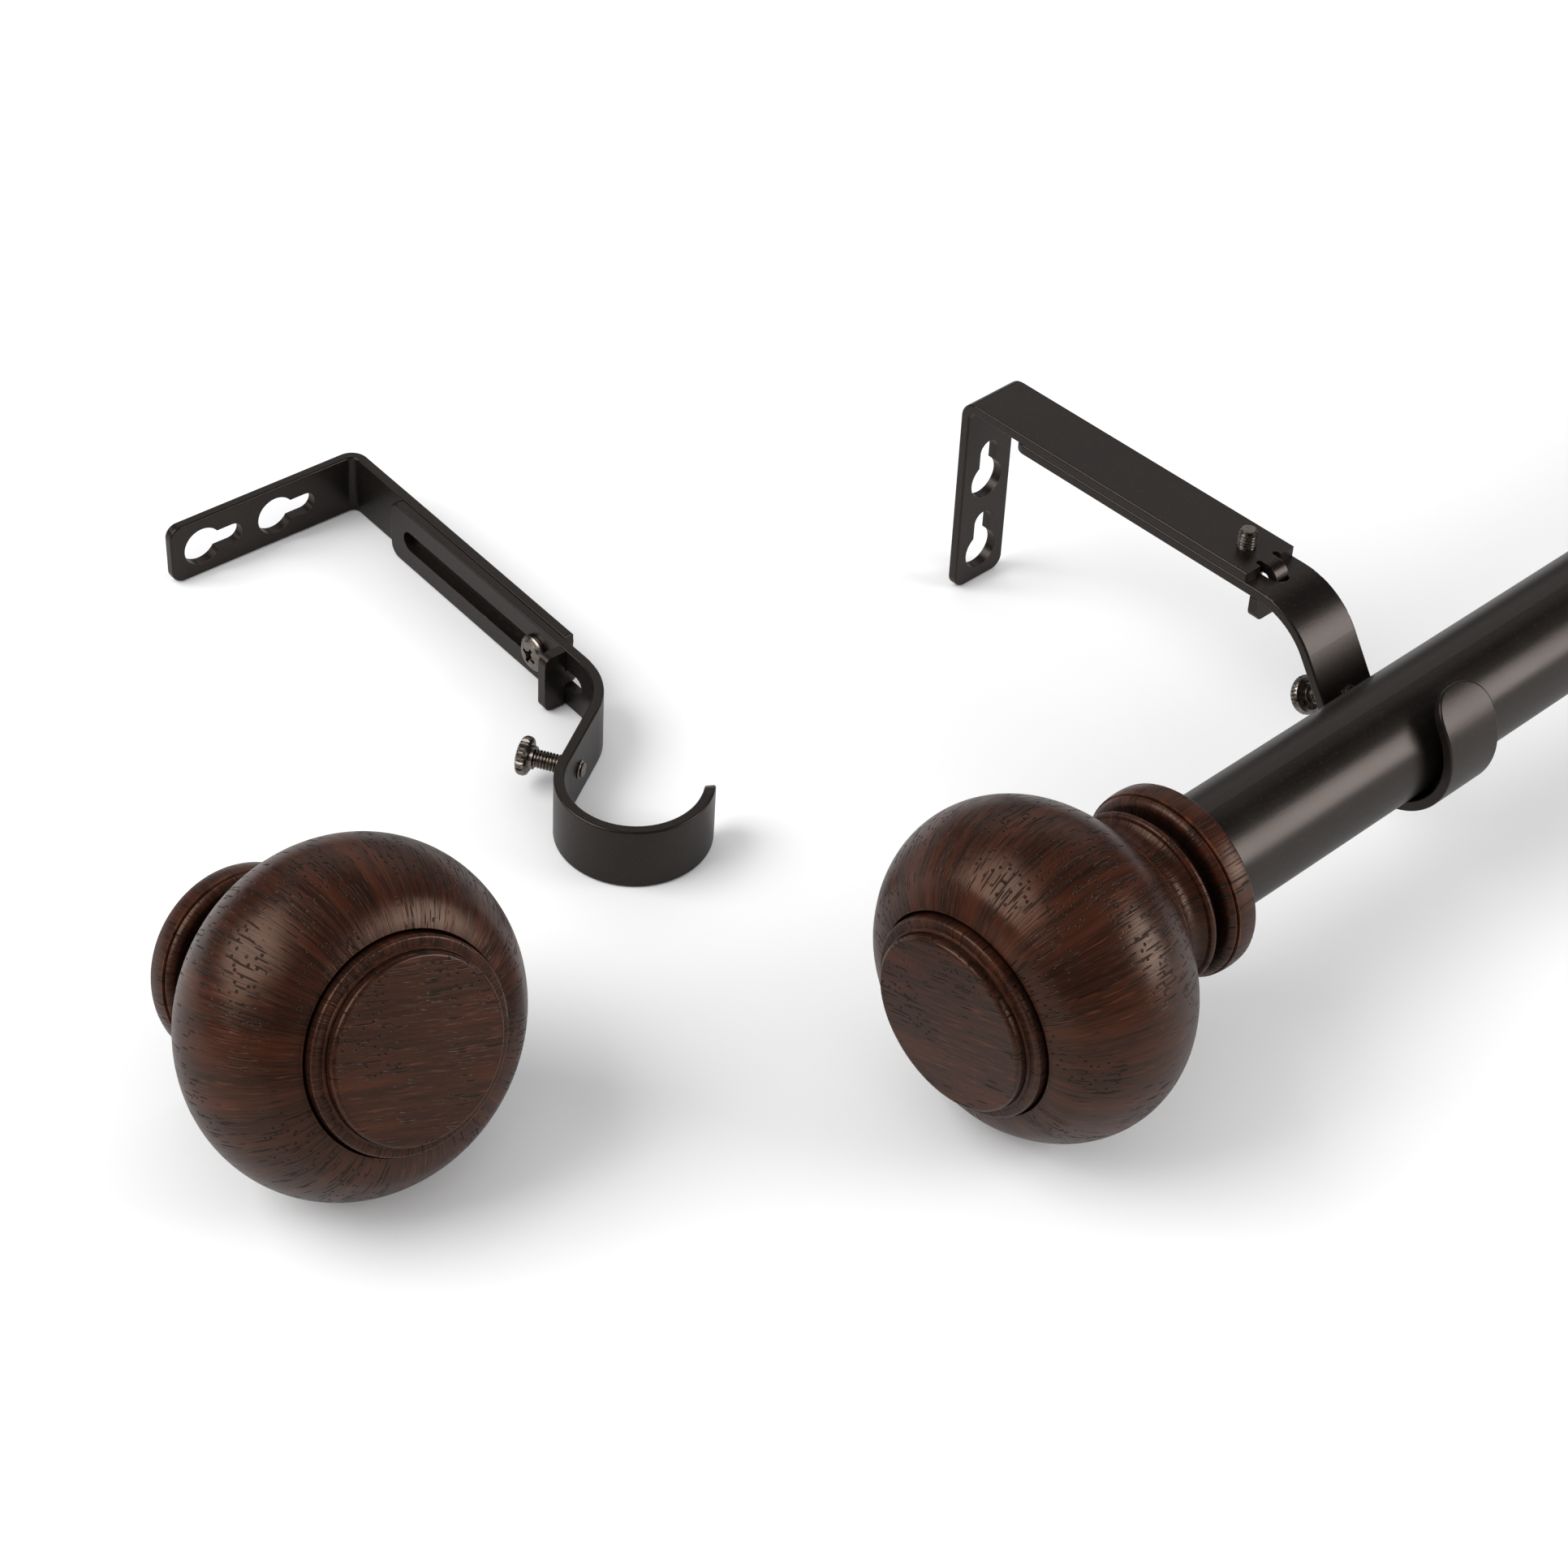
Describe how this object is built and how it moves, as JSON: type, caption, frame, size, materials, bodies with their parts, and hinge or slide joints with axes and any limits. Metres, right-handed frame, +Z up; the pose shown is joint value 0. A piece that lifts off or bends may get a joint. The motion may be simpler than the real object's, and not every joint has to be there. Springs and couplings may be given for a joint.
{
  "type": "curtain rod set",
  "caption": "Telescoping round curtain rod in an adjustable hook bracket, turned wooden ball finial fitted, with a second bracket lying on its side and a loose finial.",
  "frame": {"origin": "under the middle of the whole set, on the surface it rests on", "axes": "+X along the rod from the fitted finial to the far end, -Y outward from the wall of the standing bracket, +Z up"},
  "size_m": [0.8732, 0.269, 0.0689],
  "materials": {
    "strip": "satin",
    "tube": "satin",
    "screw": "satin",
    "ferrule": "satin",
    "plug": "matte",
    "wood": "satin"
  },
  "bodies": {
    "bracket_a_wall": {"wall_arm_a": "strip"},
    "hook_a": {"hook_arm_a": "strip"},
    "clamp_a": {"clamp_screw_a": "screw"},
    "thumb_a": {"thumb_screw_a": "screw"},
    "rod": {"rod_outer_tube": "tube", "rod_near_plug": "plug", "mouth_bush": "plug"},
    "inner_rod": {"rod_inner_tube": "tube", "guide_bush": "plug", "end_sleeve": "tube", "rod_far_plug": "plug"},
    "finial_a": {"finial_body_a": "wood", "finial_ferrule_a": "ferrule", "finial_set_screw_a": "screw"},
    "bracket_b_wall": {"wall_arm_b": "strip"},
    "hook_b": {"hook_arm_b": "strip"},
    "clamp_b": {"clamp_screw_b": "screw"},
    "thumb_b": {"thumb_screw_b": "screw"},
    "finial_b": {"finial_body_b": "wood", "finial_ferrule_b": "ferrule", "finial_set_screw_b": "screw"}
  },
  "joints": [
    {"name": "hook_a_reach", "type": "slide", "parent": "bracket_a_wall", "child": "hook_a", "axis": [0, -0.9997, 0.0232], "range_m": [-0.0002, 0.052]},
    {"name": "clamp_a_advance", "type": "slide", "parent": "bracket_a_wall", "child": "clamp_a", "axis": [0, 0.0232, 0.9997], "range_m": [-0.0045, 0]},
    {"name": "thumb_a_advance", "type": "slide", "parent": "hook_a", "child": "thumb_a", "axis": [0, -0.8258, 0.564], "range_m": [-0.008, 0.0008]},
    {"name": "rod_lengthwise", "type": "slide", "parent": "hook_a", "child": "rod", "axis": [1, 0, 0], "range_m": [-0.2, 0.055]},
    {"name": "rod_extension", "type": "slide", "parent": "rod", "child": "inner_rod", "axis": [1, 0, 0], "range_m": [0, 0.508]},
    {"name": "finial_a_pull_off", "type": "slide", "parent": "rod", "child": "finial_a", "axis": [-1, 0, 0], "range_m": [0, 0.03]},
    {"name": "bracket_b_lift", "type": "slide", "parent": "bracket_a_wall", "child": "bracket_b_wall", "axis": [0, 0, 1], "range_m": [0, 0.1]},
    {"name": "hook_b_reach", "type": "slide", "parent": "bracket_b_wall", "child": "hook_b", "axis": [-0.0602, -0.9982, 0], "range_m": [-0.005, 0.047]},
    {"name": "clamp_b_advance", "type": "slide", "parent": "bracket_b_wall", "child": "clamp_b", "axis": [0.9982, -0.0602, 0], "range_m": [-0.0045, 0]},
    {"name": "thumb_b_advance", "type": "slide", "parent": "hook_b", "child": "thumb_b", "axis": [0.4932, -0.8699, 0], "range_m": [-0.008, 0.001]},
    {"name": "finial_b_lift", "type": "slide", "parent": "bracket_a_wall", "child": "finial_b", "axis": [0, 0, 1], "range_m": [0, 0.1]}
  ]
}
